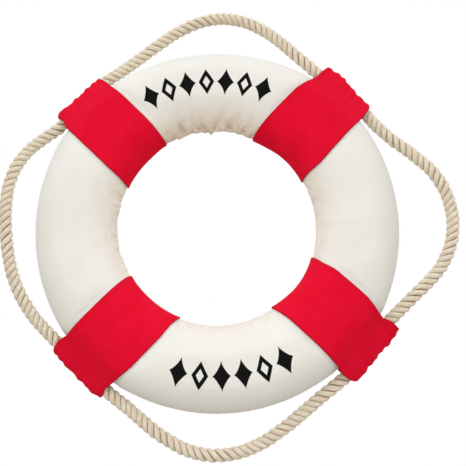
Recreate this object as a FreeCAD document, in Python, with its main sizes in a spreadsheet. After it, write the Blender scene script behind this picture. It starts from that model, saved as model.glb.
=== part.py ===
import FreeCAD, Part
# Cloth-covered decorative life ring: a foam ring in a canvas cover, four cloth bands and a rope.
#
# The ring stands upright. Its axis is the Y axis, its front faces -Y, and the origin is its centre.
# Angles round the ring are measured from +X towards +Z. All lengths are in millimetres.
import math
import os
import Sketcher
from FreeCAD import Placement, Rotation, Vector

ORIGIN = Vector(0, 0, 0)
X_AXIS = Vector(1, 0, 0)
Y_AXIS = Vector(0, 1, 0)

# name: (value, what it is)
SIZES = {
    "ring_outer_radius": (175.0, "outer rim of the cover"),
    "ring_hole_radius": (95.0, "inner rim of the cover"),
    "ring_thickness": (56.0, "front to back over the cover"),
    "cover_thickness": (1.0, "canvas with its seam allowance"),
    "core_gap": (0.1, "between the core and the cover"),
    "seam_half_width": (0.4, "half the groove where the two panels turn in"),
    "seam_depth": (0.6, "depth of that groove"),
    "thread_diameter": (0.7, "sewing thread"),
    "thread_gap": (0.02, "between a thread and the cloth"),
    "band_width": (62.0, "width of a band, parallel edges"),
    "band_thickness": (1.0, "two layers of cotton"),
    "band_gap": (0.3, "between a band and the cover"),
    "band_sweep": (72.0, "degrees revolved before a band is cut to width"),
    "tunnel_radius": (184.4, "from the ring's axis to the middle of a band's rope tunnel"),
    "tunnel_gap": (1.2, "between the rope and its tunnel"),
    "closing_angle": (125.0, "where a band's two ends are sewn, round the inner rim, in degrees"),
    "closing_length": (54.0, "length of that seam"),
    "rope_diameter": (12.0, "three-strand cotton rope"),
    "swing_gap": (1.0, "between a loop's round end and the held rope"),
    "held_curve": (300.0, "radius that the rope is bent to inside a band"),
    "end_gap": (0.4, "between the two ends of the rope"),
    "tape_gap": (0.05, "between the tape and the rope"),
    "tape_thickness": (0.4, "tape wound round the two ends"),
    "tape_length": (24.0, "length of that winding"),
}
# Half the ring's section is a quarter circle, a flat and a quarter circle: the two centres.
INNER_CENTRE = "sizes.ring_hole_radius + sizes.ring_thickness / 2"
OUTER_CENTRE = "sizes.ring_outer_radius - sizes.ring_thickness / 2"
COVER_CORNER = "sizes.ring_thickness / 2"

# Each band is a straight strip: the direction of its centre line, and how far that line passes
# from the ring's axis, because the bands are wrapped by hand.
BANDS = {
    "upper_right": (45.0, 3.0),
    "upper_left": (136.0, 3.0),
    "lower_left": (225.0, 8.0),
    "lower_right": (315.0, 15.0),
}
BAND_WITH_ROPE_ENDS = "lower_right"

# The rope's free loops, clockwise from the upper left band. The first and last point of each
# is where it comes out of a band, and is on the axis that the loop swings about.
LOOPS = {
    "top": [
        (-109.7, 0, 149.0), (-87, 1, 165), (-60, 3, 188), (-32, 4, 208.5), (-2, 3, 218),
        (28, 1, 214), (57, -1, 196.5), (80, -1, 174), (102.0, 0, 154.3),
    ],
    "right": [
        (150.9, 0, 107.0), (166, -1, 88.5), (189.5, -3, 70), (212, -5, 48), (224, -6, 18),
        (224, -5, -15), (210, -3, -45), (183, -1, -69.5), (160.8, 0, -91.5),
    ],
    "bottom": [
        (116.7, 0, -143.6), (97, 1, -158.5), (68, 2, -183), (38, 3, -203.5), (6, 3, -212.5),
        (-25, 2, -208.5), (-55, 1, -191.5), (-78, 0, -171.5), (-97.7, 0, -157.1),
    ],
    "left": [
        (-147.9, 0, -111.1), (-166, -1, -95), (-185, -3, -69), (-196.5, -5, -40), (-202, -6, -7),
        (-204, -6, 24), (-200.5, -5, 50), (-190, -3, 71), (-173, -1, 87.5), (-156.1, 0, 99.3),
    ],
}
ARC_SHARE = 0.45  # of the shorter run beside a corner that its arc takes up

# The two loop ends that each band's held rope joins, by increasing angle: (loop, which end).
HELD_ENDS = {
    "upper_right": (("right", 0), ("top", -1)),
    "upper_left": (("top", 0), ("left", -1)),
    "lower_left": (("left", 0), ("bottom", -1)),
    "lower_right": (("bottom", 0), ("right", -1)),
}

BIG = 130.0  # longer than any band, for cutting tools


def make_sheet(doc):
    """The driving dimensions, one aliased cell each."""
    sheet = doc.addObject("Spreadsheet::Sheet", "sizes")
    for row, (name, (value, meaning)) in enumerate(SIZES.items(), start=1):
        sheet.set("A%d" % row, name)
        sheet.set("B%d" % row, str(value))
        sheet.set("C%d" % row, meaning)
        sheet.setAlias("B%d" % row, name)
    doc.recompute()


def size(name):
    return SIZES[name][0]


def label(obj, name):
    obj.Label = name
    return obj


# ---------------------------------------------------------------- sketches

def new_sketch(body, role, name):
    """A sketch on one of the body's own origin planes."""
    sketch = body.newObject("Sketcher::SketchObject", name)
    plane = next(f for f in body.Origin.OriginFeatures if f.Role == role)
    sketch.AttachmentSupport = [(plane, "")]
    sketch.MapMode = "FlatFace"
    return sketch


def constrain(sketch, kind, *args):
    return sketch.addConstraint(Sketcher.Constraint(kind, *args))


def drive(sketch, kind, args, value, expression):
    """A dimension whose value comes from the sheet."""
    index = constrain(sketch, kind, *args, value)
    sketch.setExpression("Constraints[%d]" % index, expression)


def add_arc(sketch, x, radius, start, end):
    circle = Part.Circle(Vector(x, 0, 0), Vector(0, 0, 1), radius)
    return sketch.addGeometry(Part.ArcOfCircle(circle, math.radians(start), math.radians(end)))


def add_line(sketch, a, b):
    return sketch.addGeometry(Part.LineSegment(Vector(*a, 0), Vector(*b, 0)))


def draw_half_section(sketch, inset, inset_expression):
    """The front half of the ring's section, with its outline moved in by inset."""
    inner = size("ring_hole_radius") + size("ring_thickness") / 2
    outer = size("ring_outer_radius") - size("ring_thickness") / 2
    radius = size("ring_thickness") / 2 - inset
    hole_side = add_arc(sketch, inner, radius, 180, 270)
    face = add_line(sketch, (inner, -radius), (outer, -radius))
    rim_side = add_arc(sketch, outer, radius, 270, 360)
    middle = add_line(sketch, (outer + radius, 0), (inner - radius, 0))
    constrain(sketch, "Tangent", hole_side, 2, face, 1)
    constrain(sketch, "Tangent", face, 2, rim_side, 1)
    constrain(sketch, "Coincident", rim_side, 2, middle, 1)
    constrain(sketch, "Coincident", middle, 2, hole_side, 1)
    for arc, end in ((hole_side, 1), (rim_side, 2)):
        constrain(sketch, "PointOnObject", arc, 3, -1)
        constrain(sketch, "PointOnObject", arc, end, -1)
    constrain(sketch, "Horizontal", face)
    drive(sketch, "Radius", (hole_side,), radius, "%s - (%s)" % (COVER_CORNER, inset_expression))
    drive(sketch, "DistanceX", (-1, 1, hole_side, 3), inner, INNER_CENTRE)
    drive(sketch, "DistanceX", (-1, 1, rim_side, 3), outer, OUTER_CENTRE)


def draw_band_section(sketch, offset, offset_expression, rope_radius, rope_expression):
    """A band's section: a loop pulled tight round the ring's section and the rope beside it."""
    inner = size("ring_hole_radius") + size("ring_thickness") / 2
    outer = size("ring_outer_radius") - size("ring_thickness") / 2
    radius = size("ring_thickness") / 2 + offset
    rope_x = size("tunnel_radius")
    lean = math.degrees(math.acos((radius - rope_radius) / (rope_x - outer)))

    def on(centre, reach, angle):
        return (centre + reach * math.cos(math.radians(angle)), reach * math.sin(math.radians(angle)))

    hole_side = add_arc(sketch, inner, radius, 90, 270)
    front = add_line(sketch, (inner, -radius), (outer, -radius))
    front_rim = add_arc(sketch, outer, radius, 270, 360 - lean)
    front_slope = add_line(sketch, on(outer, radius, -lean), on(rope_x, rope_radius, -lean))
    rope_side = add_arc(sketch, rope_x, rope_radius, -lean, lean)
    back_slope = add_line(sketch, on(rope_x, rope_radius, lean), on(outer, radius, lean))
    back_rim = add_arc(sketch, outer, radius, lean, 90)
    back = add_line(sketch, (outer, radius), (inner, radius))
    loop = [hole_side, front, front_rim, front_slope, rope_side, back_slope, back_rim, back]
    for this, following in zip(loop, loop[1:] + loop[:1]):
        constrain(sketch, "Tangent", this, 2, following, 1)
    for arc in (hole_side, front_rim, rope_side):
        constrain(sketch, "PointOnObject", arc, 3, -1)
    constrain(sketch, "Coincident", front_rim, 3, back_rim, 3)
    constrain(sketch, "Horizontal", front)
    drive(sketch, "Radius", (hole_side,), radius, "%s + (%s)" % (COVER_CORNER, offset_expression))
    drive(sketch, "Radius", (rope_side,), rope_radius, rope_expression)
    drive(sketch, "DistanceX", (-1, 1, hole_side, 3), inner, INNER_CENTRE)
    drive(sketch, "DistanceX", (-1, 1, front_rim, 3), outer, OUTER_CENTRE)
    drive(sketch, "DistanceX", (-1, 1, rope_side, 3), rope_x, "sizes.tunnel_radius")


def draw_box(sketch, low, high, expressions):
    """A rectangle from its low to its high corner; expressions drive x and y of both."""
    corners = [low, (high[0], low[1]), high, (low[0], high[1])]
    sides = [add_line(sketch, a, b) for a, b in zip(corners, corners[1:] + corners[:1])]
    for this, following in zip(sides, sides[1:] + sides[:1]):
        constrain(sketch, "Coincident", this, 2, following, 1)
    for side, kind in zip(sides, ("Horizontal", "Vertical") * 2):
        constrain(sketch, kind, side)
    for side, values, texts in ((0, low, expressions[:2]), (2, high, expressions[2:])):
        drive(sketch, "DistanceX", (-1, 1, sides[side], 1), values[0], texts[0])
        drive(sketch, "DistanceY", (-1, 1, sides[side], 1), values[1], texts[1])


# ---------------------------------------------------------------- features

def revolve(body, sketch, kind, name, degrees, expression=None):
    """A Revolution or Groove of the sketch about the ring's axis, half each way."""
    feature = body.newObject("PartDesign::" + kind, name)
    feature.Profile = sketch
    feature.ReferenceAxis = (sketch, ["V_Axis"])
    feature.Angle = degrees
    if expression:
        feature.Midplane = True
        feature.setExpression("Angle", expression)
    return feature


def new_body(doc, name):
    body = doc.addObject("PartDesign::Body", name)
    return label(body, name)


def turned_back():
    """Half a turn about X: a front piece becomes the matching back piece."""
    return Placement(ORIGIN, Rotation(X_AXIS, 180))


def round_ring(degrees):
    """The place of a piece built on +X that belongs at this angle round the ring."""
    return Placement(ORIGIN, Rotation(Y_AXIS, -degrees))


def make_core_half(doc, name):
    """One moulded half of the foam core, with its glue face on the middle plane."""
    body = new_body(doc, name)
    inset = size("cover_thickness") + size("core_gap")
    section = new_sketch(body, "XY_Plane", name + "_section")
    draw_half_section(section, inset, "sizes.cover_thickness + sizes.core_gap")
    revolve(body, section, "Revolution", name + "_ring", 360)
    return body


def draw_seam_notches(sketch):
    """The corners that both rims of a panel lose where the seam is turned in."""
    depth, half = size("seam_depth"), size("seam_half_width")
    hole, rim = size("ring_hole_radius"), size("ring_outer_radius")
    clear = 1.0  # how far a notch is cut past the rim
    low_y = "-sizes.seam_half_width"
    draw_box(sketch, (hole - clear, -half), (hole + depth, half), (
        "sizes.ring_hole_radius - %g" % clear, low_y,
        "sizes.ring_hole_radius + sizes.seam_depth", "sizes.seam_half_width"))
    draw_box(sketch, (rim - depth, -half), (rim + clear, half), (
        "sizes.ring_outer_radius - sizes.seam_depth", low_y,
        "sizes.ring_outer_radius + %g" % clear, "sizes.seam_half_width"))


def make_cover_panel(doc, name):
    """Half of the cover: a canvas annulus that bulges over the core to the two seams."""
    body = new_body(doc, name)
    outline = new_sketch(body, "XY_Plane", name + "_outside")
    draw_half_section(outline, 0, "0")
    revolve(body, outline, "Revolution", name + "_bulge", 360)
    hollow = new_sketch(body, "XY_Plane", name + "_inside")
    draw_half_section(hollow, size("cover_thickness"), "sizes.cover_thickness")
    revolve(body, hollow, "Groove", name + "_hollow", 360)
    notches = new_sketch(body, "XY_Plane", name + "_notches")
    draw_seam_notches(notches)
    revolve(body, notches, "Groove", name + "_seams", 360)
    return body


def make_ring_thread(doc, name, radius, expression):
    """The thread of a seam that runs all round the ring."""
    thread = label(doc.addObject("Part::Torus", name), name)
    thread.Radius1 = radius
    thread.setExpression("Radius1", expression)
    thread.setExpression("Radius2", "sizes.thread_diameter / 2")
    thread.Placement = Placement(ORIGIN, Rotation(X_AXIS, 90))
    return thread


def make_band(doc, name, direction, off_axis):
    """A straight strip of doubled cotton round the ring and the rope."""
    body = new_body(doc, name)
    rope = size("rope_diameter") / 2 + size("tunnel_gap")
    rope_text = "sizes.rope_diameter / 2 + sizes.tunnel_gap"
    gap, cloth = size("band_gap"), size("band_thickness")
    outside = new_sketch(body, "XY_Plane", name + "_outside")
    draw_band_section(outside, gap + cloth, "sizes.band_gap + sizes.band_thickness",
                      rope + cloth, rope_text + " + sizes.band_thickness")
    revolve(body, outside, "Revolution", name + "_outer", size("band_sweep"), "sizes.band_sweep")
    inside = new_sketch(body, "XY_Plane", name + "_inside")
    draw_band_section(inside, gap, "sizes.band_gap", rope, rope_text)
    revolve(body, inside, "Groove", name + "_tunnel", size("band_sweep"), "sizes.band_sweep")
    edges = new_sketch(body, "XZ_Plane", name + "_edges")
    near, far = 40.0, 210.0  # across the whole strip, from inside the hole to past the rope
    top = off_axis + size("band_width") / 2
    bottom = off_axis - size("band_width") / 2
    draw_box(edges, (near, top), (far, BIG), (
        "%g" % near, "%g + sizes.band_width / 2" % off_axis, "%g" % far, "%g" % BIG))
    draw_box(edges, (near, -BIG), (far, bottom), (
        "%g" % near, "%g" % -BIG, "%g" % far, "%g - sizes.band_width / 2" % off_axis))
    trim = body.newObject("PartDesign::Pocket", name + "_trim")
    trim.Profile = edges
    trim.Type = "Length"
    trim.Midplane = True
    trim.setExpression("Length", "2 * sizes.ring_thickness")
    body.Placement = round_ring(direction)
    return body


def make_band_thread(doc, name, direction, off_axis):
    """The seam that closes a band, on the back of the ring's inner shoulder."""
    lean = math.radians(size("closing_angle"))
    lift = size("band_gap") + size("band_thickness") + size("thread_gap") + size("thread_diameter") / 2
    reach = size("ring_thickness") / 2 + lift
    radius = size("ring_hole_radius") + size("ring_thickness") / 2 + reach * math.cos(lean)
    half = size("closing_length") / 2
    start = math.degrees(math.asin((off_axis - half) / radius))
    end = math.degrees(math.asin((off_axis + half) / radius))
    thread = label(doc.addObject("Part::Torus", name), name)
    thread.Radius1 = radius
    thread.setExpression("Radius2", "sizes.thread_diameter / 2")
    thread.Angle3 = end - start
    turn = Rotation(Y_AXIS, -(direction + start)) * Rotation(X_AXIS, 90)
    thread.Placement = Placement(Vector(0, reach * math.sin(lean), 0), turn)
    return thread


# ---------------------------------------------------------------- rope

def loop_point(loop, index):
    return Vector(*LOOPS[loop][index])


def held_arc(band):
    """The centre, start angle and sweep, in degrees, of the rope inside a band."""
    first, last = (loop_point(*end) for end in HELD_ENDS[band])
    half = (last - first).Length / 2
    middle = (first + last) / 2
    outward = Vector(middle).normalize()
    centre = middle - outward * math.sqrt(size("held_curve") ** 2 - half ** 2)
    start = math.degrees(math.atan2(first.z - centre.z, first.x - centre.x))
    return centre, start, 2 * math.degrees(math.asin(half / size("held_curve")))


def make_bent_rod(doc, name, centre, start, sweep, thickness):
    """A round rod bent to the held rope's radius; thickness is the expression of its radius."""
    rod = doc.addObject("Part::Torus", name)
    rod.setExpression("Radius1", "sizes.held_curve")
    rod.setExpression("Radius2", thickness)
    rod.Angle3 = sweep
    rod.Placement = Placement(centre, Rotation(Y_AXIS, -start) * Rotation(X_AXIS, 90))
    return rod


def make_cut(doc, name, base, tool):
    cut = doc.addObject("Part::Cut", name)
    cut.Base = base
    cut.Tool = tool
    return cut


def make_held_rope(doc, name, band):
    """The rope inside a band, with a cup at each end that a loop's round end turns in."""
    centre, start, sweep = held_arc(band)
    piece = make_bent_rod(doc, name + "_rod", centre, start, sweep, "sizes.rope_diameter / 2")
    for number, end in enumerate(HELD_ENDS[band]):
        ball = doc.addObject("Part::Sphere", "%s_cup_%d" % (name, number))
        ball.setExpression("Radius", "sizes.rope_diameter / 2 + sizes.swing_gap")
        ball.Placement = Placement(loop_point(*end), Rotation())
        piece = make_cut(doc, "%s_cut_%d" % (name, number), piece, ball)
    if band == BAND_WITH_ROPE_ENDS:
        slit = doc.addObject("Part::Box", name + "_slit")
        slit.setExpression("Width", "sizes.end_gap")
        slit.setExpression("Length", "2 * sizes.rope_diameter")
        slit.setExpression("Height", "2 * sizes.rope_diameter")
        reach = size("rope_diameter")
        turn = Rotation(Y_AXIS, -(start + sweep / 2)) * Rotation(X_AXIS, 90)
        corner = Vector(size("held_curve") - reach, -size("end_gap") / 2, -reach)
        slit.Placement = Placement(centre + turn.multVec(corner), turn)
        piece = make_cut(doc, name + "_ends", piece, slit)
    return label(piece, name)


def make_tape(doc, name):
    """The tape wound round the two ends of the rope."""
    centre, start, sweep = held_arc(BAND_WITH_ROPE_ENDS)
    width = math.degrees(size("tape_length") / size("held_curve"))
    begin = start + (sweep - width) / 2
    core = "sizes.rope_diameter / 2 + sizes.tape_gap"
    inside = make_bent_rod(doc, name + "_inside", centre, begin, width, core)
    outside = make_bent_rod(doc, name + "_outside", centre, begin, width, core + " + sizes.tape_thickness")
    return label(make_cut(doc, name, outside, inside), name)


def loop_route(points):
    """Straight runs joined by tangent arcs as large as the runs allow, and the arcs' radii."""
    edges, radii = [], []
    here = points[0]
    for before, corner, after in zip(points, points[1:], points[2:]):
        back, onward = before - corner, after - corner
        reach = ARC_SHARE * min(back.Length, onward.Length)
        back.normalize()
        onward.normalize()
        turn = math.pi - back.getAngle(onward)
        radius = reach / math.tan(turn / 2)
        start, end = corner + back * reach, corner + onward * reach
        inward = (back + onward).normalize()
        middle = corner + inward * (radius / math.cos(turn / 2) - radius)
        edges.append(Part.LineSegment(here, start).toShape())
        edges.append(Part.Arc(start, middle, end).toShape())
        radii.append(radius)
        here = end
    edges.append(Part.LineSegment(here, points[-1]).toShape())
    return Part.Wire(edges), radii


def make_loop(doc, name, points):
    """A free loop: a tube along its route with a round end on each of its two pivots."""
    radius = size("rope_diameter") / 2
    route, radii = loop_route(points)
    leaving = (points[1] - points[0]).normalize()
    arriving = (points[-1] - points[-2]).normalize()
    circle = Part.Wire([Part.Circle(points[0], leaving, radius).toShape()])
    tube = route.makePipeShell([circle], True, False)
    wanted = math.pi * radius ** 2 * route.Length
    if abs(tube.Volume / wanted - 1) > 0.01:
        raise RuntimeError("%s: volume %g, section times length %g" % (name, tube.Volume, wanted))
    caps = [
        Part.makeSphere(radius, points[0], leaving * -1, 0, 90, 360),
        Part.makeSphere(radius, points[-1], arriving, 0, 90, 360),
    ]
    piece = label(doc.addObject("Part::Feature", name), name)
    piece.Shape = tube.fuse(caps).removeSplitter()
    print("%s: %.0f mm long, arc radii %s" % (name, route.Length, " ".join("%.0f" % r for r in radii)))
    return piece


# ---------------------------------------------------------------- the whole ring

def make_parts(doc):
    parts = []
    for side in ("front", "back"):
        core = make_core_half(doc, "foam_core_" + side)
        cover = make_cover_panel(doc, "cover_%s_panel" % side)
        if side == "back":
            core.Placement = turned_back()
            cover.Placement = turned_back()
        parts += [core, cover]
    sunk = size("seam_depth") - size("thread_gap") - size("thread_diameter") / 2
    sunk_text = "sizes.seam_depth + sizes.thread_gap + sizes.thread_diameter / 2"
    parts.append(make_ring_thread(doc, "outer_seam_thread", size("ring_outer_radius") - sunk,
                                  "sizes.ring_outer_radius - " + sunk_text))
    parts.append(make_ring_thread(doc, "inner_seam_thread", size("ring_hole_radius") + sunk,
                                  "sizes.ring_hole_radius + sizes.seam_depth - sizes.thread_gap"
                                  " - sizes.thread_diameter / 2"))
    for band, (direction, off_axis) in BANDS.items():
        parts.append(make_band(doc, "band_" + band, direction, off_axis))
        parts.append(make_band_thread(doc, "band_thread_" + band, direction, off_axis))
        parts.append(make_held_rope(doc, "rope_held_" + band, band))
    parts.append(make_tape(doc, "rope_end_tape"))
    for loop, points in LOOPS.items():
        parts.append(make_loop(doc, "rope_loop_" + loop, [Vector(*p) for p in points]))
    return parts


def check(doc, parts):
    """Stop if any object failed or any sub-part has no sound shape."""
    for obj in doc.Objects:
        if "Invalid" in obj.State or "Error" in obj.State:
            raise RuntimeError("%s failed: %s" % (obj.Label, obj.State))
    for part in parts:
        if part.Shape.isNull() or not part.Shape.isValid() or not part.Shape.Solids:
            raise RuntimeError(part.Label + " has no valid solid")


def main():
    doc = FreeCAD.newDocument("life_ring")
    make_sheet(doc)
    parts = make_parts(doc)
    doc.recompute()
    check(doc, parts)
    os.makedirs("parts", exist_ok=True)
    for part in parts:
        part.Shape.exportStep("parts/%s.step" % part.Label)
        print("%s: %d solid(s), %.1f mm3" % (part.Label, len(part.Shape.Solids), part.Shape.Volume))


main()
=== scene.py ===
# The looks of the cloth-covered life ring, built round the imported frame.
# Metres, in the row frame: the ring's axis is Y, its front faces -Y, the origin is its centre.
import math

import bmesh
import bpy
import numpy as np
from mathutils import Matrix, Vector
from mathutils.bvhtree import BVHTree


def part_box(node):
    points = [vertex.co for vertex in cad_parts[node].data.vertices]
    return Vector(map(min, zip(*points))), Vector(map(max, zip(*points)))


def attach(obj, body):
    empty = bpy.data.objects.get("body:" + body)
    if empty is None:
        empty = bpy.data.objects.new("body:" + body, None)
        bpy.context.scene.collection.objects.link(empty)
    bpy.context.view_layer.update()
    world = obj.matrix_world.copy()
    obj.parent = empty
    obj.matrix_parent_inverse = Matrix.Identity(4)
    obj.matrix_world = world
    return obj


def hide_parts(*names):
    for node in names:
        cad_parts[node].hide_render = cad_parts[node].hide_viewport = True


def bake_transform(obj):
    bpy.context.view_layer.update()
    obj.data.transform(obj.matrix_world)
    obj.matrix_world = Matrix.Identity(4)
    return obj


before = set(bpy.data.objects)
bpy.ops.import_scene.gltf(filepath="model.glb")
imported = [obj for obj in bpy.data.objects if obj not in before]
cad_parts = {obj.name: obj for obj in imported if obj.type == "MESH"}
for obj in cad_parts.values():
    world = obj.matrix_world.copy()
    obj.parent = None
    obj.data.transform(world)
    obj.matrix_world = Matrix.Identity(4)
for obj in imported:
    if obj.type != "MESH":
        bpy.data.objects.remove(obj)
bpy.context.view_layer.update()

MM = 0.001
BACK = np.array([0.0, 1.0, 0.0])
TURN = 2 * math.pi

# ---------------------------------------------------------------- driving sizes, in metres

RIM_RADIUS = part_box("cover_front_panel")[1].x
HALF_DEPTH = -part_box("cover_front_panel")[0].y
HOLE_RADIUS = 95.0 * MM
INNER_CENTRE = HOLE_RADIUS + HALF_DEPTH   # centres of the section's two quarter circles
OUTER_CENTRE = RIM_RADIUS - HALF_DEPTH
QUARTER = HALF_DEPTH * math.pi / 2        # length of a quarter circle of the section
FLAT = OUTER_CENTRE - INNER_CENTRE
HALF_GIRTH = 2 * QUARTER + FLAT           # from the outer seam over one face to the inner seam

ROUNDING = 8.0 * MM       # reach of the smoothing where the section's arcs meet its flat
CORE_INSET = 3.0 * MM     # of the foam inside the cover
CORE_DRAWN_IN = 5.0 * MM  # and by how much more at the hole, under the folds
CORE_GAP = 0.3 * MM       # between the foam's two halves
PLEATS = (math.radians(8.5), 4.4 * MM)        # their spacing round the ring and their depth
SMALL_PLEATS = (math.radians(3.2), 2.6 * MM)
SEAM_DEPTH = 0.7 * MM

BAND_WIDTH = 62.0 * MM
BAND_CLOTH = 1.0 * MM     # thickness of its doubled cloth
BAND_GAP = 0.3 * MM       # under it
# The direction of each band's centre line, in degrees, and how far it passes from the axis.
BANDS = {
    "upper_right": (45.0, 3.0 * MM),
    "upper_left": (136.0, 3.0 * MM),
    "lower_left": (225.0, 8.0 * MM),
    "lower_right": (315.0, 15.0 * MM),
}

# How far each edge of a band, the one towards its right and the one towards its left as seen
# from the ring's axis, lies beyond a plain strip's, in millimetres. It is drawn in where the
# strip turns in at the hole and at the neck between the rim and the rope, and at its corners.
EDGE_PLACES = (95, 108, 145, 170, 178, 186, 194)      # from the ring's axis
BAND_EDGES = {
    "upper_right": ((1, 3, 1, 0.5, -0.5, -2, -9), (1, 1, 1.5, -2, -1, -1, -8)),
    "upper_left": ((-3, -2.3, -1.7, -1.5, -1, -2, -9), (-1.7, -0.8, -0.6, -0.7, -4, -3, -3)),
    "lower_left": ((-0.5, -1, -1.2, -0.8, 2, 1.3, -6), (-0.7, 1.2, 1.7, -1, -2.5, -0.2, -2)),
    "lower_right": ((2.7, 0.7, -0.6, -0.3, 1.5, 0, -5), (-4, -1.5, 0.5, -1.2, 3, 4, -2)),
}
# How far its outer end stands out beyond a tight strip's, in millimetres, from edge to edge.
BAND_ENDS = {
    "upper_right": (1.5, 1.5, 1.2, 2.7, 5.3, 5.2, 3.7),
    "upper_left": (0.6, 0.6, 0.6, 0.9, 1.2, 3.0, 2.0),
    "lower_left": (1.5, 1.7, 1.5, 1.5, 1.8, 2.2, 1.6),
    "lower_right": (2.0, 3.2, 2.2, 2.5, 2.7, 5.0, 4.0),
}
# Where the hole is out of round: the direction and the half width in degrees, and by how much.
HOLE_UNEVEN = ((332, 20, 2.8 * MM), (91, 6, -1.6 * MM), (62, 10, -1.2 * MM), (120, 9, 1.2 * MM))

# How much further a band's edges are drawn in on the back, by the rope.
BACK_DRAWN_IN = 2.5 * MM

ROPE = 12.0 * MM          # diameter
ROPE_LAY = 21.0 * MM      # length of one turn of a strand
STRANDS = 3
HELIX_RADIUS = 3.3 * MM   # of a strand's middle line
STRAND_HIGH = ROPE / 2 - HELIX_RADIUS     # half its height, out from the rope's axis
STRAND_WIDE = 2.6 * MM    # half its width
YARNS = 8                 # in the outside of a strand
STRAND_STEP = 0.9 * MM    # between the rings of its mesh
HELD_CURVE = 300.0 * MM   # radius that the rope is bent to inside a band
TUCK = 8.0 * MM           # how far a loop's own piece runs on into the bands
ROPE_CUT = 0.2 * MM       # between it and the piece inside the band

# The cloth solver works better on a bigger ring.
SIM_SCALE = 10.0
SIM_COLUMNS, SIM_ROWS = 320, 34
SIM_FRAMES = 20
SIM_PRESSURE = 40.0
SIM_FOLDS = 0.5           # how deep the folds start out, against how deep they are creased in
SIM_HELD = 3.5 * MM       # how far beyond a band's edge the cloth is still held
MOST_MOVED = 3.0 * MM     # how far the cloth may be blown

STITCH_PITCH = 4.2 * MM   # of the cover's two seams
HEM = 3.6 * MM            # from a band's edge to the stitches of its hem

# The printed marks: how much is left open, half the width and the height, and the curve's power.
MARKS = {
    "filled": (0.0, 8.2 * MM, 13.0 * MM, 0.8),
    "open": (0.48, 7.4 * MM, 12.4 * MM, 1.0),
}
# Their rows: the marks, the first one's and the last one's direction in degrees, and the radius.
PRINTS = {
    "print_top": (("filled", "open") * 3 + ("filled",), 117, 70, 133.5 * MM),
    "print_bottom": (("filled", "open", "filled") * 2, 256.7, 296, 139 * MM),
}
INK_LIFT = 0.12 * MM      # off the canvas

# The routes of the free loops, clockwise from the upper left band, in millimetres.
LOOPS = {
    "top": [
        (-109.7, 0, 149.0), (-87, 1, 165), (-60, 3, 188), (-32, 4, 208.5), (-2, 3, 218),
        (28, 1, 214), (57, -1, 196.5), (80, -1, 174), (102.0, 0, 154.3),
    ],
    "right": [
        (150.9, 0, 107.0), (166, -1, 88.5), (189.5, -3, 70), (212, -5, 48), (224, -6, 18),
        (224, -5, -15), (210, -3, -45), (183, -1, -69.5), (160.8, 0, -91.5),
    ],
    "bottom": [
        (116.7, 0, -143.6), (97, 1, -158.5), (68, 2, -183), (38, 3, -203.5), (6, 3, -212.5),
        (-25, 2, -208.5), (-55, 1, -191.5), (-78, 0, -171.5), (-97.7, 0, -157.1),
    ],
    "left": [
        (-147.9, 0, -111.1), (-166, -1, -95), (-185, -3, -69), (-196.5, -5, -40), (-202, -6, -7),
        (-204, -6, 24), (-200.5, -5, 50), (-190, -3, 71), (-173, -1, 87.5), (-156.1, 0, 99.3),
    ],
}
LOOP_LENGTHS = {"top": 0.254, "right": 0.250, "bottom": 0.252, "left": 0.246}
# The rope from its one end to its other: band, loop, band, ... The ends meet in the last band.
ROPE_ORDER = [
    ("lower_right", "bottom"), ("lower_left", "left"), ("upper_left", "top"), ("upper_right", "right"),
]


# ---------------------------------------------------------------- small tools

def link(obj):
    bpy.context.scene.collection.objects.link(obj)
    return obj


def mesh_object(name, points, faces, material=None):
    """A smooth mesh of an array of points and a list of faces."""
    mesh = bpy.data.meshes.new(name)
    mesh.from_pydata(np.asarray(points).reshape(-1, 3).tolist(), [], list(faces))
    mesh.shade_smooth()
    if material:
        mesh.materials.append(material)
    return link(bpy.data.objects.new(name, mesh))


def grid_faces(columns, rows, wrap_columns=False, wrap_rows=False, start=0):
    """Quads of a grid whose points are numbered row by row within each column."""
    i, j = np.meshgrid(
        np.arange(columns if wrap_columns else columns - 1),
        np.arange(rows if wrap_rows else rows - 1), indexing="ij")
    i, j = i.ravel(), j.ravel()
    k, m = (i + 1) % columns, (j + 1) % rows
    return (start + np.stack([i * rows + j, k * rows + j, k * rows + m, i * rows + m], axis=1)).tolist()


def tube_faces(count, rings, sides):
    """The sides and the two ends of tubes whose points follow one another."""
    faces = []
    for start in range(0, count * rings * sides, rings * sides):
        last = start + (rings - 1) * sides
        faces += grid_faces(rings, sides, wrap_rows=True, start=start)
        faces += [[start + k for k in range(sides)], [last + k for k in reversed(range(sides))]]
    return faces


def turned_over(faces):
    return [face[::-1] for face in faces]


def weld_points(obj):
    """Joins the points that lie on each other, such as a disc's middle."""
    shape = bmesh.new()
    shape.from_mesh(obj.data)
    bmesh.ops.remove_doubles(shape, verts=shape.verts, dist=0.001 * MM)
    shape.to_mesh(obj.data)
    shape.free()


def set_uv(obj, u, v):
    """A UV map from one (u, v) for each point, in millimetres."""
    corners = np.empty(len(obj.data.loops), np.int32)
    obj.data.loops.foreach_get("vertex_index", corners)
    layer = obj.data.uv_layers.new(name="cloth")
    both = np.stack([np.ravel(u)[corners], np.ravel(v)[corners]], axis=1) / MM
    layer.data.foreach_set("uv", both.astype(np.float32).ravel())


def set_share(obj, name, values):
    """A number for each point, which the material reads by its name."""
    attribute = obj.data.attributes.new(name, "FLOAT", "POINT")
    attribute.data.foreach_set("value", np.ravel(values).astype(np.float32))


def on_ring(piece, node=None):
    """Declares a piece that rides on the ring, and the frame's node that it replaces."""
    if node:
        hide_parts(node)
    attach(piece, "ring")


def ring_points(radius, angle, height):
    """Points at a radius and an angle round the ring's axis, and a height along it."""
    x, z = radius * np.cos(angle), radius * np.sin(angle)
    return np.stack(np.broadcast_arrays(x, height, z), axis=-1)


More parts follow.
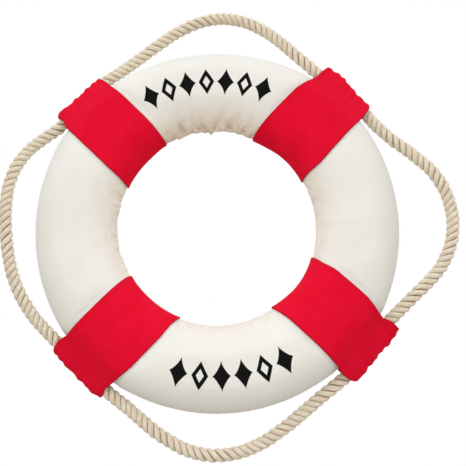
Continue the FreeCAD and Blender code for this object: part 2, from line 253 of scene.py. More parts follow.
def smoothstep(low, high, x):
    t = np.clip((x - low) / (high - low), 0, 1)
    return t * t * (3 - 2 * t)


def unit(v):
    return v / np.linalg.norm(v, axis=-1, keepdims=True)


def smooth_rows(values, sigma):
    """values, smoothed along the first axis, which doesn't wrap; sigma is in steps."""
    reach = int(math.ceil(3 * sigma))
    weights = np.exp(-0.5 * (np.arange(-reach, reach + 1) / sigma) ** 2)
    padded = np.concatenate([values[:1]] * reach + [values] + [values[-1:]] * reach)
    total = sum(w * padded[k:k + len(values)] for k, w in enumerate(weights))
    return total / weights.sum()


def band_axes(name):
    """A band's direction outwards, the direction across it, and its middle's offset."""
    degrees, offset = BANDS[name]
    a = math.radians(degrees)
    return np.array([math.cos(a), 0, math.sin(a)]), np.array([-math.sin(a), 0, math.cos(a)]), offset


def beside_bands(points):
    """For each point, how far it is outside the nearest band's edge; negative under a band."""
    nearest = np.full(points.shape[:-1], np.inf)
    for name in BANDS:
        outward, across, offset = band_axes(name)
        gap = np.abs(points @ across - offset) - BAND_WIDTH / 2
        nearest = np.minimum(nearest, np.where(points @ outward > 0, gap, np.inf))
    return nearest


# ---------------------------------------------------------------- materials

def new_material(name, roughness, specular, sheen=0.0):
    """A material and its node tree."""
    made = bpy.data.materials.new(name)
    made.use_nodes = True
    shader = made.node_tree.nodes["Principled BSDF"]
    shader.inputs["Roughness"].default_value = roughness
    shader.inputs["Specular IOR Level"].default_value = specular
    shader.inputs["Sheen Weight"].default_value = sheen
    shader.inputs["Sheen Roughness"].default_value = 0.6
    return made, made.node_tree


def add_node(tree, kind, inputs=(), **settings):
    """A node with its settings, and its inputs' numbers or links, by socket name or number."""
    made = tree.nodes.new("ShaderNode" + kind)
    for key, value in settings.items():
        setattr(made, key, value)
    for socket, value in dict(inputs).items():
        if isinstance(value, bpy.types.NodeSocket):
            tree.links.new(value, made.inputs[socket])
        else:
            made.inputs[socket].default_value = value
    return made


def calculate(tree, operation, *values):
    return add_node(tree, "Math", dict(enumerate(values)), operation=operation).outputs[0]


def wave(tree, place, turns):
    return calculate(tree, "SINE", calculate(tree, "MULTIPLY", place, TURN * turns))


def mix_colours(tree, share, a, b):
    """a and b are sockets, or red, green and blue."""
    a, b = ((*colour, 1) if isinstance(colour, tuple) else colour for colour in (a, b))
    return add_node(tree, "Mix", {0: share, 6: a, 7: b}, data_type="RGBA").outputs[2]


def cloth_place(tree):
    """The cloth's own coordinates, in millimetres."""
    return add_node(tree, "UVMap", uv_map="cloth").outputs[0]


def cloth_u_v(tree):
    return add_node(tree, "SeparateXYZ", {0: cloth_place(tree)}).outputs[:2]


def object_place(tree):
    return add_node(tree, "TexCoord").outputs["Object"]


def read_share(tree, name):
    """What set_share has written on the mesh."""
    return add_node(tree, "Attribute", attribute_name=name).outputs["Fac"]


def noise(tree, place, scale, detail=2.0, roughness=0.5):
    return add_node(tree, "TexNoise", {
        "Vector": place, "Scale": scale, "Detail": detail, "Roughness": roughness}).outputs["Fac"]


def cloth_noise(tree, x, y, detail=2.0, roughness=0.5):
    """Noise on the cloth, with x and y waves to a millimetre across and along it."""
    place = add_node(tree, "Mapping", {"Vector": cloth_place(tree), "Scale": (x, y, 1.0)}).outputs[0]
    return noise(tree, place, 1.0, detail, roughness)


def plain_weave(tree, u, v, pitch):
    """Height from 0 to 1 of warp and weft threads, pitch millimetres apart, that cross."""
    crossing = calculate(tree, "MULTIPLY", *(wave(tree, place, 0.5 / pitch) for place in (u, v)))
    return calculate(tree, "MULTIPLY_ADD", crossing, 0.5, 0.5)


def ramp(tree, share, *stops):
    """A colour ramp through stops, each a place and its red, green and blue."""
    made = add_node(tree, "ValToRGB", {0: share})
    elements = made.color_ramp.elements
    while len(elements) < len(stops):
        elements.new(0.5)
    for element, (place, colour) in zip(elements, stops):
        element.position = place
        element.color = (*colour, 1)
    return made.outputs[0]


def set_surface(tree, colour, height, distance, strength):
    """The shader's colour, and its bump from a height between 0 and 1."""
    inputs = tree.nodes["Principled BSDF"].inputs
    tree.links.new(colour, inputs["Base Color"])
    bump = add_node(tree, "Bump", {"Height": height, "Distance": distance, "Strength": strength})
    tree.links.new(bump.outputs[0], inputs["Normal"])


def make_canvas():
    """Off-white cotton canvas, tinted beige at the hole, most at the top, and along the outer seam:
    partly yellowing, partly painted shade on the hole's down-facing top; painted shade in the creases of
    its folds.
    """
    made, tree = new_material("cover_canvas", 0.85, 0.15, sheen=0.05)
    cloud = cloth_noise(tree, 0.02, 0.02, 3.0)
    slub = cloth_noise(tree, 0.08, 1.2)
    fresh = ramp(tree, cloud, (0.3, (0.785, 0.775, 0.735)), (0.7, (0.83, 0.825, 0.79)))
    patch = cloth_noise(tree, 0.11, 0.09, 4.0, 0.6)
    # Beige mixed in at the hole and along the outer seam: partly yellowing, partly painted shade.
    worn_and_shaded_beige = ramp(tree, patch, (0.38, (0.75, 0.675, 0.50)), (0.62, (0.90, 0.86, 0.74)))
    tinted = mix_colours(tree, read_share(tree, "beige_tint_and_shade"), fresh, worn_and_shaded_beige)
    # Painted shade: brown mixed into the creases of the folds.
    shaded = calculate(tree, "MULTIPLY", read_share(tree, "crease_shade"), 0.38)
    colour = mix_colours(tree, shaded, tinted, (0.52, 0.43, 0.28))
    weave = plain_weave(tree, *cloth_u_v(tree), 0.55)
    height = calculate(tree, "MULTIPLY_ADD", slub, 0.6, weave)
    set_surface(tree, colour, height, 0.12 * MM, 0.6)
    return made


def make_band_cotton():
    """Saturated red cotton twill, with painted shade along its edges, where it turns over."""
    made, tree = new_material("band_cotton", 0.9, 0.06)
    u, v = cloth_u_v(tree)
    cloud = cloth_noise(tree, 0.05, 0.05, 4.0)
    even = ramp(tree, cloud, (0.3, (0.72, 0.0035, 0.025)), (0.7, (0.77, 0.005, 0.033)))
    # Painted shade: darker red along the rolled edges.
    colour = mix_colours(tree, read_share(tree, "edge"), even, (0.46, 0.001, 0.008))
    rib = wave(tree, calculate(tree, "ADD", u, v), 1.0)
    height = calculate(tree, "MULTIPLY_ADD", rib, 0.25, plain_weave(tree, u, v, 0.6))
    set_surface(tree, colour, height, 0.12 * MM, 0.5)
    return made


def make_rope_cotton():
    """Natural cotton: pale yarns with fine fibres and brown flecks, with painted brown shade in the
    grooves between strands.
    """
    made, tree = new_material("rope_cotton", 0.95, 0.1, sheen=0.1)
    yarn = cloth_noise(tree, 1.0, 0.06)
    fibre = cloth_noise(tree, 9.0, 0.5, 3.0, 0.65)
    fleck = cloth_noise(tree, 0.6, 0.22, 3.0, 0.6)
    pale = ramp(tree, yarn, (0.3, (0.83, 0.73, 0.57)), (0.7, (1.0, 0.96, 0.87)))
    flecked = ramp(tree, fleck, (0.36, (0.55, 0.55, 0.55)), (0.58, (0, 0, 0)))
    mottled = mix_colours(tree, flecked, pale, (0.64, 0.49, 0.33))
    streak = calculate(tree, "MULTIPLY", fibre, 0.38)
    streaked = mix_colours(tree, streak, mottled, (0.62, 0.47, 0.30))
    # Painted shade: dark brown deep in the grooves between the strands.
    colour = mix_colours(tree, read_share(tree, "raised_above_groove_shade"), (0.29, 0.19, 0.105), streaked)
    set_surface(tree, colour, fibre, 0.3 * MM, 0.8)
    return made


def make_thread(name, colour):
    """Twisted sewing thread of one dye, with painted shade in the grooves between its plies."""
    made, tree = new_material(name, 0.8, 0.1)
    u, v = cloth_u_v(tree)
    slant = calculate(tree, "ADD", calculate(tree, "MULTIPLY", u, 2.0), v)
    ply = wave(tree, slant, 1 / 0.6)
    share = calculate(tree, "MULTIPLY_ADD", ply, 0.5, 0.5)
    # Painted shade: the dye darkened where the ply wave is low, in the grooves.
    ply_groove_shade = tuple(0.6 * c for c in colour)
    set_surface(tree, mix_colours(tree, share, ply_groove_shade, colour), ply, 0.05 * MM, 0.8)
    return made


def make_ink():
    """Black printing ink with a fine grain."""
    made, tree = new_material("print_ink", 0.85, 0.05)
    grain = noise(tree, object_place(tree), 900.0)
    black = ramp(tree, grain, (0.3, (0.003, 0.003, 0.003)), (0.75, (0.011, 0.0105, 0.01)))
    set_surface(tree, black, grain, 0.08 * MM, 0.6)
    return made


def make_foam():
    """White beads of expanded polystyrene, with painted shade towards each bead's rim."""
    made, tree = new_material("core_foam", 0.7, 0.3)
    beads = add_node(tree, "TexVoronoi", {"Vector": object_place(tree), "Scale": 320.0})
    bead = beads.outputs["Distance"]
    # Painted shade: darker towards each bead's rim, where its bump is low.
    white = ramp(tree, bead, (0.2, (0.92, 0.92, 0.91)), (0.8, (0.74, 0.74, 0.73)))
    set_surface(tree, white, calculate(tree, "SUBTRACT", 1.0, bead), 0.6 * MM, 0.7)
    return made


def make_tape():
    """Cotton cloth tape."""
    made, tree = new_material("rope_tape", 0.75, 0.2)
    cloud = noise(tree, object_place(tree), 300.0, 3.0)
    white = ramp(tree, cloud, (0.3, (0.70, 0.69, 0.65)), (0.7, (0.80, 0.79, 0.76)))
    set_surface(tree, white, cloud, 0.2 * MM, 0.5)
    return made


def make_floor_material():
    """Pale and matt; it fades away from its middle into the white all round."""
    made, tree = new_material("pale_floor", 0.9, 0.1)
    place = object_place(tree)
    cloud = noise(tree, place, 2.0)
    pale = ramp(tree, cloud, (0.3, (0.80, 0.79, 0.77)), (0.7, (0.83, 0.82, 0.80)))
    away = add_node(tree, "VectorMath", {0: place}, operation="LENGTH").outputs["Value"]
    fade = add_node(tree, "MapRange", {
        "Value": away, "From Min": 0.35, "From Max": 1.1, "To Min": 1.0, "To Max": 0.0},
        interpolation_type="SMOOTHSTEP").outputs["Result"]
    inputs = tree.nodes["Principled BSDF"].inputs
    tree.links.new(pale, inputs["Base Color"])
    tree.links.new(fade, inputs["Alpha"])
    return made


# ---------------------------------------------------------------- camera, light and floor

def make_camera():
    """A camera in front of the ring and a little below it, looking up at it."""
    distance, azimuth, elevation = 560 * MM, math.radians(1.6), math.radians(-10.0)
    back = Vector((
        math.sin(azimuth) * math.cos(elevation),
        -math.cos(azimuth) * math.cos(elevation),
        math.sin(elevation)))
    data = bpy.data.cameras.new("camera")
    data.sensor_width = 36.0
    data.lens = 44.9
    data.shift_x = 0.0367
    data.shift_y = -0.0165
    camera = link(bpy.data.objects.new("camera", data))
    camera.location = back * distance
    camera.rotation_euler = (-back).to_track_quat("-Z", "Y").to_euler()
    bpy.context.scene.camera = camera


def make_world():
    """White all round to look at; it lights more from above than from below."""
    world = bpy.data.worlds.new("studio")
    bpy.context.scene.world = world
    world.use_nodes = True
    tree = world.node_tree
    ray = add_node(tree, "TexCoord").outputs["Generated"]
    height = add_node(tree, "SeparateXYZ", {0: ray}).outputs[2]
    share = calculate(tree, "MULTIPLY_ADD", height, 0.5, 0.5)
    light = ramp(tree, share, (0.0, (0.18, 0.145, 0.09)), (0.36, (0.44, 0.385, 0.295)),
                 (0.5, (1.20, 1.20, 1.19)), (1.0, (0.85, 0.85, 0.85)))
    seen = add_node(tree, "LightPath").outputs["Is Camera Ray"]
    shade = mix_colours(tree, seen, light, (1, 1, 1))
    tree.links.new(shade, tree.nodes["Background"].inputs["Color"])
    tree.nodes["Background"].inputs["Strength"].default_value = 1.0


def make_softbox(name, place, width, watts):
    data = bpy.data.lights.new(name, "AREA")
    data.size = width
    data.energy = watts
    light = link(bpy.data.objects.new(name, data))
    light.visible_camera = False
    light.location = place
    light.rotation_euler = (-Vector(place)).to_track_quat("-Z", "Y").to_euler()


def make_floor():
    drop, half = 950 * MM, 1.3
    corners = [(-half, -half, 0), (half, -half, 0), (half, half, 0), (-half, half, 0)]
    floor = mesh_object("floor", corners, [(0, 1, 2, 3)], make_floor_material())
    floor.location.z = -drop


# ---------------------------------------------------------------- the rope

def read_route(points):
    """The points of the smooth line that a loop's route controls."""
    curve = bpy.data.curves.new("route", "CURVE")
    curve.dimensions = "3D"
    curve.resolution_u = 32
    spline = curve.splines.new("NURBS")
    spline.points.add(len(points) - 1)
    for control, place in zip(spline.points, points):
        control.co = (*(MM * c for c in place), 1)
    spline.order_u = 3
    spline.use_endpoint_u = True
    obj = link(bpy.data.objects.new("route", curve))
    mesh = bpy.data.meshes.new_from_object(obj)
    line = np.array([v.co for v in mesh.vertices], float)
    bpy.data.objects.remove(obj)
    bpy.data.curves.remove(curve)
    bpy.data.meshes.remove(mesh)
    return line


def held_line(first, last):
    """The rope inside a band, bent round between the ends of two loops."""
    half = np.linalg.norm(last - first) / 2
    middle = (first + last) / 2
    outward = unit(middle)
    along = unit(last - first)
    centre = middle - outward * math.sqrt(HELD_CURVE ** 2 - half ** 2)
    sweep = math.asin(half / HELD_CURVE)
    angles = np.linspace(-sweep, sweep, 81)[:, None]
    return centre + HELD_CURVE * (np.sin(angles) * along + np.cos(angles) * outward)


class Rope:
    """The whole rope as one line, so that its strands run on from piece to piece."""

    def __init__(self):
        routes = {name: read_route(points) for name, points in LOOPS.items()}
        lines, spans = [], {}
        for number, (band, loop) in enumerate(ROPE_ORDER):
            before = ROPE_ORDER[number - 1][1]
            lines += [(band, held_line(routes[before][-1], routes[loop][0])), (loop, routes[loop])]
        here = 0.0
        places, reached = [], []
        for name, line in lines:
            steps = np.linalg.norm(np.diff(line, axis=0), axis=1)
            spans[name] = (here, here + steps.sum())
            places.append(line[:-1])
            reached.append(here + np.concatenate([[0], np.cumsum(steps)[:-1]]))
            here += steps.sum()
        self.length = here
        self.spans = spans
        self.places = np.concatenate(places)
        self.reached = np.concatenate(reached)

    def at(self, s):
        """Points of the line at the lengths s; it closes on itself, where its ends meet."""
        return np.stack([
            np.interp(s, self.reached, self.places[:, k], period=self.length) for k in range(3)], axis=-1)

    def smooth_at(self, s):
        reach = 3.0 * MM
        shifts = np.linspace(-reach, reach, 7)
        return sum(self.at(s + d) for d in shifts) / len(shifts)

    def frame_at(self, s):
        """Points, and two directions across the rope at each."""
        step = 2.0 * MM
        tangent = unit(self.smooth_at(s + step) - self.smooth_at(s - step))
        first = unit(BACK - (tangent @ BACK)[:, None] * tangent)
        return self.smooth_at(s), first, np.cross(tangent, first)

    def strand(self, s, number, rng):
        """A grid of points round one strand, with its u, v and how far each stands out."""
        middle, first, second = self.frame_at(s)
        twist = 0.4 * np.sin(s / (23 * MM)) + 0.25 * np.sin(s / (9.7 * MM) + 1)    # laid unevenly
        turn = TURN * (s / ROPE_LAY + number / STRANDS) + twist
        out = np.cos(turn)[:, None] * first + np.sin(turn)[:, None] * second
        slack = 1 + 0.03 * np.sin(s / (17 * MM) + 2.1 * number) + 0.02 * np.sin(s / (6.1 * MM) + number)
        line = middle + (HELIX_RADIUS * slack)[:, None] * out
        along = unit(np.gradient(line, axis=0))
        out = unit(out - np.sum(out * along, axis=1, keepdims=True) * along)
        beside = np.cross(along, out)
        walked = np.concatenate([[0], np.cumsum(np.linalg.norm(np.diff(line, axis=0), axis=1))])
        per_yarn = 4
        around = TURN * np.arange(YARNS * per_yarn) / (YARNS * per_yarn)
        yarn_turn = -TURN * s / (ROPE_LAY * 1.35)
        lobes = 1 + 0.045 * np.cos(YARNS * (around[None, :] - yarn_turn[:, None]))
        lobes += 0.012 * rng.standard_normal(lobes.shape)
        high = STRAND_HIGH * np.cos(around)[None, :] * lobes
        wide = STRAND_WIDE * np.sin(around)[None, :] * lobes
        points = line[:, None] + high[..., None] * out[:, None] + wide[..., None] * beside[:, None]
        distance = np.linalg.norm(points - middle[:, None], axis=2)
        # How far out from the rope's axis; the material paints shade where this is low, in the grooves.
        raised_above_groove_shade = smoothstep(3.8 * MM, 5.4 * MM, distance)
        u = (around[None, :] - yarn_turn[:, None]) * STRAND_WIDE
        v = np.broadcast_to(walked[:, None], u.shape)
        return points, u, v, raised_above_groove_shade

    def strands(self, name, start, end, material):
        """The strands from start to end along the line, as one closed piece."""
        rng = np.random.default_rng(11)
        s = np.linspace(start, end, int(round((end - start) / STRAND_STEP)))
        strands = [self.strand(s, number, rng) for number in range(STRANDS)]
        points, u, v, raised_above_groove_shade = (np.array(values) for values in zip(*strands))
        obj = mesh_object(name, points, tube_faces(*u.shape), material)
        set_uv(obj, u, v)
        set_share(obj, "raised_above_groove_shade", raised_above_groove_shade)
        return obj


def make_loops(rope, material):
    """The four free loops, each a piece of strands that runs on a little into its bands."""
    for loop, length in LOOP_LENGTHS.items():
        start, end = rope.spans[loop]
        piece = rope.strands("rope_strands_" + loop, start - TUCK, end + TUCK, material)
        path = rope.smooth_at(np.linspace(start - TUCK, end + TUCK, 200))
        first, last = rope.at(np.array([start, end]))
        outward = unit(np.cross(last - first, BACK))
        outward *= np.sign(outward @ (first + last))
        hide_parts("rope_loop_" + loop)
        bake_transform(piece)


def make_held_ropes(rope, material):
    for band in BANDS:
        start, end = rope.spans[band]
        inside = TUCK + ROPE_CUT
        piece = rope.strands("rope_strands_in_" + band, start + inside, end - inside, material)
        on_ring(piece, "rope_held_" + band)


# ---------------------------------------------------------------- the cover

def hole_uneven(angle):
    """How much further out than its circle the hole's edge lies."""
    total = 0.0
    for place, width, far in HOLE_UNEVEN:
        off = (angle - math.radians(place) + math.pi) % TURN - math.pi
        total = total + far * np.exp(-(off / math.radians(width)) ** 2)
    return total


def stadium(walked):
    """Radius, height and normal of two quarter circles with a flat between them."""
    on_rim = np.clip(walked / HALF_DEPTH, 0, math.pi / 2)
    on_hole = np.clip((walked - QUARTER - FLAT) / HALF_DEPTH, 0, math.pi / 2)
    flat = np.clip(walked - QUARTER, 0, FLAT)
    rim_side = walked < QUARTER + FLAT
    angle = np.where(rim_side, on_rim, math.pi / 2 + on_hole)
    out, front = np.cos(angle), np.sin(angle)
    return OUTER_CENTRE - flat + HALF_DEPTH * out, -HALF_DEPTH * front, out, -front


def section(walked, angle=None):
    """Radius, height and the outward normal at a length from the outer seam over the front."""
    reach = np.minimum(ROUNDING, np.minimum(walked, HALF_GIRTH - walked))
    around = [stadium(walked + share * reach) for share in (-1, -0.5, 0, 0.5, 1)]
    radius, height, out, front = (sum(values) / len(values) for values in zip(*around))
    size = np.hypot(out, front)
    if angle is not None:
        radius = radius + hole_uneven(angle) * smoothstep(QUARTER + 0.5 * FLAT, HALF_GIRTH, walked)
    return radius, height, out / size, front / size


class Pleats:
    """Folds that run into the inner seam, where the cover has more cloth than the rim needs."""

    def __init__(self, seed, spacing, depth):
        rng = np.random.default_rng(seed)
        steps = rng.uniform(0.55, 1.45, 200) * spacing
        places = np.cumsum(steps)
        self.places = places[places < TURN - spacing / 2]
        count = len(self.places)
        self.depths = depth * rng.uniform(0.35, 1.0, count)
        self.lengths = rng.uniform(5, 13, count) * MM
        self.widths = rng.uniform(0.9, 1.7, count) * MM
        self.leans = rng.uniform(-0.7, 0.7, count)
        self.ridges = rng.choice((-1, 1), count)     # the side on which the cloth stands up

    def depth_at(self, angle, from_seam):
        """How deep the cloth lies in, at an angle round the ring and a distance from the seam."""
        total = np.zeros(np.broadcast(angle, from_seam).shape)
        for place, depth, length, width, lean, side in zip(
                self.places, self.depths, self.lengths, self.widths, self.leans, self.ridges):
            turn = (angle - place + math.pi) % TURN - math.pi
            off = turn * (HOLE_RADIUS + 0.5 * from_seam) - lean * from_seam
            off = off / (width * (1 + from_seam / (12 * MM)))
            fade = np.exp(-from_seam / length) * smoothstep(0, 3.5 * MM, from_seam)
            valley = np.exp(-np.abs(off) ** 1.3)
            ridge = 0.5 * np.exp(-(off - 2.1 * side) ** 2)
            total += depth * fade * (valley - ridge)
        return total


def spare_cloth(angle):
    """How much spare cloth is bunched at the hole, from 0 to 1: most of it at the top. It also sets how
    strong the beige tint of yellowing and painted shade is there.
    """
    top = smoothstep(0.1, 0.95, np.sin(angle))
    left = np.clip(-np.cos(angle), 0, 1)
    return np.clip(0.3 + 0.7 * top + 0.25 * left, 0, 1)


def ripple(angle, count, seed, waves=9):
    """An uneven wave round the ring, about count crests, between -1 and 1."""
    rng = np.random.default_rng(seed)
    total = np.zeros(np.shape(angle))
    for _ in range(waves):
        total += np.sin(round(count * rng.uniform(0.6, 1.5)) * angle + rng.uniform(0, TURN))
    return total / waves ** 0.5 / 1.5


def cover_grid(side, columns, rows, fold_share=1.0):
    """One panel of the cover over its core: points, u, v, its beige tint of yellowing and painted shade,
    and its painted crease shade.
    """
    angle = TURN * np.arange(columns)[:, None] / columns
    walked = HALF_GIRTH * (0.5 - 0.5 * np.cos(math.pi * np.linspace(0, 1, rows)))[None, :]
    walked = 0.5 * walked + 0.5 * HALF_GIRTH * np.linspace(0, 1, rows)[None, :]
    radius, height, out, front = section(walked, angle)
    to_rim, to_hole = walked, HALF_GIRTH - walked
    free = smoothstep(2.0 * MM, 7.0 * MM, beside_bands(ring_points(radius, angle, 0.0)))
    seed = 3 if side < 0 else 5
    pleats = Pleats(seed, *PLEATS)
    small = Pleats(seed + 20, *SMALL_PLEATS)
    spare = spare_cloth(angle)
    folds = fold_share * spare * (pleats.depth_at(angle, to_hole) + small.depth_at(angle, to_hole))
    swell = 0.9 * MM * np.exp(-to_hole / (14 * MM)) * smoothstep(0, 5 * MM, to_hole)
    dents = 0.35 * MM * ripple(angle + to_rim * 8, 14, seed + 40) * np.sin(math.pi * walked / HALF_GIRTH)
    pucker = 0.22 * MM * ripple(angle, 170, seed + 60) * np.exp(-to_rim / (3.0 * MM))
    proud = (swell - folds + dents + pucker) * (0.15 + 0.85 * free) - 0.35 * MM * (1 - free)
    seam = SEAM_DEPTH * (np.exp(-(to_rim / (0.9 * MM)) ** 2) + np.exp(-(to_hole / (0.9 * MM)) ** 2))
    hole_wave = 0.9 * MM * spare * ripple(angle, 26, 77) * np.exp(-to_hole / (8 * MM)) * free
    proud = proud - seam + hole_wave
    points = ring_points(radius + out * proud, angle, (height + front * proud) * -side)
    # A beige tint at the hole, strongest at the top: partly yellowing, partly painted shade on the
    # down-facing inner rim. Also a thin beige line along the outer seam.
    hole_yellowing_and_shade = (0.2 + 0.7 * spare ** 1.5) * np.exp(-(to_hole / (24 * MM)) ** 2)
    beige_tint_and_shade = hole_yellowing_and_shade + 0.35 * np.exp(-to_rim / (1.5 * MM))
    # Where the folds are deep, the canvas material paints shade into their creases.
    crease_shade = smoothstep(0.4 * MM, 2.6 * MM, folds)
    u = np.broadcast_to(angle * INNER_CENTRE, beige_tint_and_shade.shape)
    v = np.broadcast_to(walked, beige_tint_and_shade.shape)
    return points, u, v, beige_tint_and_shade, crease_shade


def simulate_cover():
    """Both panels as one sewn tube of cloth, blown up from inside; how far its points move.

    The seams and what lies under the bands are held. The folds hold the spare cloth, which
    billows between the folds and pulls them into creases."""
    sheets = [cover_grid(side, SIM_COLUMNS, SIM_ROWS, SIM_FOLDS)[0] for side in (-1, 1)]
    joined = np.concatenate([sheets[0], sheets[1][:, -2:0:-1]], axis=1)
    rows = joined.shape[1]
    faces = grid_faces(SIM_COLUMNS, rows, wrap_columns=True, wrap_rows=True)
    obj = mesh_object("cover_in_the_making", joined * SIM_SCALE, faces)
    held = beside_bands(joined) < SIM_HELD
    held[:, [0, SIM_ROWS - 1]] = True
    group = obj.vertex_groups.new(name="held")
    group.add(np.flatnonzero(held.ravel()).tolist(), 1.0, "REPLACE")
    settings = obj.modifiers.new("cloth", "CLOTH").settings
    settings.quality = 6
    settings.mass = 0.15
    settings.tension_stiffness = settings.compression_stiffness = 25
    settings.shear_stiffness = 10
    settings.bending_stiffness = 0.6
    settings.use_pressure = True
    settings.uniform_pressure_force = SIM_PRESSURE
    settings.effector_weights.gravity = 0
    settings.vertex_group_mass = "held"
    scene = bpy.context.scene
    for number in range(1, SIM_FRAMES + 1):
        scene.frame_set(number)
    blown = obj.evaluated_get(bpy.context.evaluated_depsgraph_get()).to_mesh()
    places = np.array([v.co for v in blown.vertices], float).reshape(joined.shape) / SIM_SCALE
    scene.frame_set(1)
    bpy.data.objects.remove(obj)
    moved = places - joined
    far = np.linalg.norm(moved, axis=-1, keepdims=True)
    print("cloth moved, mm: middle %.2f, most %.2f" % (np.median(far) / MM, far.max() / MM))
    moved *= np.minimum(1, MOST_MOVED / np.maximum(far, 1e-9))
    back = np.concatenate([moved[:, :1], moved[:, :SIM_ROWS - 2:-1]], axis=1)
    return {-1: moved[:, :SIM_ROWS], 1: back}


def finer(values, columns, rows):
    """A coarse grid's values on a finer grid; the columns go round."""
    coarse_columns, coarse_rows = values.shape[:2]
    i = np.arange(columns) * coarse_columns / columns
    j = np.linspace(0, coarse_rows - 1, rows)
    i0, j0 = i.astype(int), np.minimum(j.astype(int), coarse_rows - 2)
    fi, fj = (i - i0)[:, None, None], (j - j0)[None, :, None]
    i1, j1 = (i0 + 1) % coarse_columns, j0 + 1
    low = values[i0][:, j0] * (1 - fi) + values[i1][:, j0] * fi
    high = values[i0][:, j1] * (1 - fi) + values[i1][:, j1] * fi
    return low * (1 - fj) + high * fj


def make_cover(side, name, node, material, moved):
    """One panel of the cover; gives its grid of points, and a tree of it to cast rays at."""
    columns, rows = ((640, 90))
    points, u, v, beige_tint_and_shade, crease_shade = cover_grid(side, columns, rows)
    if moved:
        points = points + finer(moved[side], columns, rows)
    faces = grid_faces(columns, rows, wrap_columns=True)
    if side > 0:
        faces = turned_over(faces)
    piece = mesh_object(name, points, faces, material)
    set_uv(piece, u, v)
    set_share(piece, "beige_tint_and_shade", beige_tint_and_shade)
    set_share(piece, "crease_shade", crease_shade)
    on_ring(piece, node)
    return points, BVHTree.FromPolygons(points.reshape(-1, 3).tolist(), faces)


def make_foam_half(side, name, node, material):
    """Half of the core, a little slack inside the cover."""
    columns, rows = 160, 48
    angle = TURN * np.arange(columns)[:, None] / columns
    walked = np.linspace(0, HALF_GIRTH, rows)[None, :]
    radius, height, out, front = section(walked, angle)
    to_hole = HALF_GIRTH - walked
    inset = CORE_INSET + CORE_DRAWN_IN * np.exp(-(to_hole / (16 * MM)) ** 2)
    height = (height - front * inset) * -side + side * CORE_GAP / 2
    points = ring_points(radius - out * inset, angle, height)
    faces = grid_faces(columns, rows, wrap_columns=True, wrap_rows=True)
    if side > 0:
        faces = turned_over(faces)
    piece = mesh_object(name, points, faces, material)
    on_ring(piece, node)


# ---------------------------------------------------------------- stitches

def stitch_mesh(name, ends, lifts, thickness, material, node=None):
    """Stitches as short threads, each from one end to the other, lifted in its middle."""
    rings, sides = 7, 6
    t = np.linspace(0, 1, rings)[:, None]
    angle = TURN * np.arange(sides)[:, None] / sides
    first, last = (np.array(ends)[:, k, None] for k in (0, 1))
    lift = np.array(lifts)[:, None]
    line = first + (last - first) * t + lift * np.sin(math.pi * t) ** 0.5
    along = unit(np.gradient(line, axis=1))
    up = unit(lift - np.sum(lift * along, axis=-1, keepdims=True) * along)
    side = np.cross(along, up)
    thick = thickness / 2 * (0.35 + 0.65 * np.sin(math.pi * t) ** 0.4)
    ring = np.cos(angle) * up[:, :, None] + np.sin(angle) * side[:, :, None]
    points = line[:, :, None] + thick[..., None] * ring
    grid = points.shape[:3]
    piece = mesh_object(name, points, tube_faces(*grid), material)
    walked = t * np.linalg.norm(last - first, axis=-1, keepdims=True)
    set_uv(piece, np.broadcast_to(angle[:, 0] * thickness / 2, grid), np.broadcast_to(walked, grid))
    on_ring(piece, node)


def make_seam_stitches(name, edge, outward, node, material):
    """The stitches of a seam along an edge of the cover's panels, each slanting across it."""
    radii = np.hypot(edge[:, 0], edge[:, 2])
    angles = TURN * np.arange(len(edge)) / len(edge)
    count = int(round(TURN * radii.mean() / STITCH_PITCH))
    places = TURN * np.arange(count) / count
    radius = np.interp(places, angles, radii, period=TURN) - outward * 0.2 * MM
    slant, depth = 0.36 * STITCH_PITCH / radius, 0.45 * MM
    ends = np.stack([ring_points(radius, places + s * slant, s * depth) for s in (-1, 1)], axis=1)
    lifts = ring_points(outward * 0.15 * MM, places, 0.0)
    stitch_mesh(name, ends, lifts, 0.5 * MM, material, node)


# ---------------------------------------------------------------- the bands

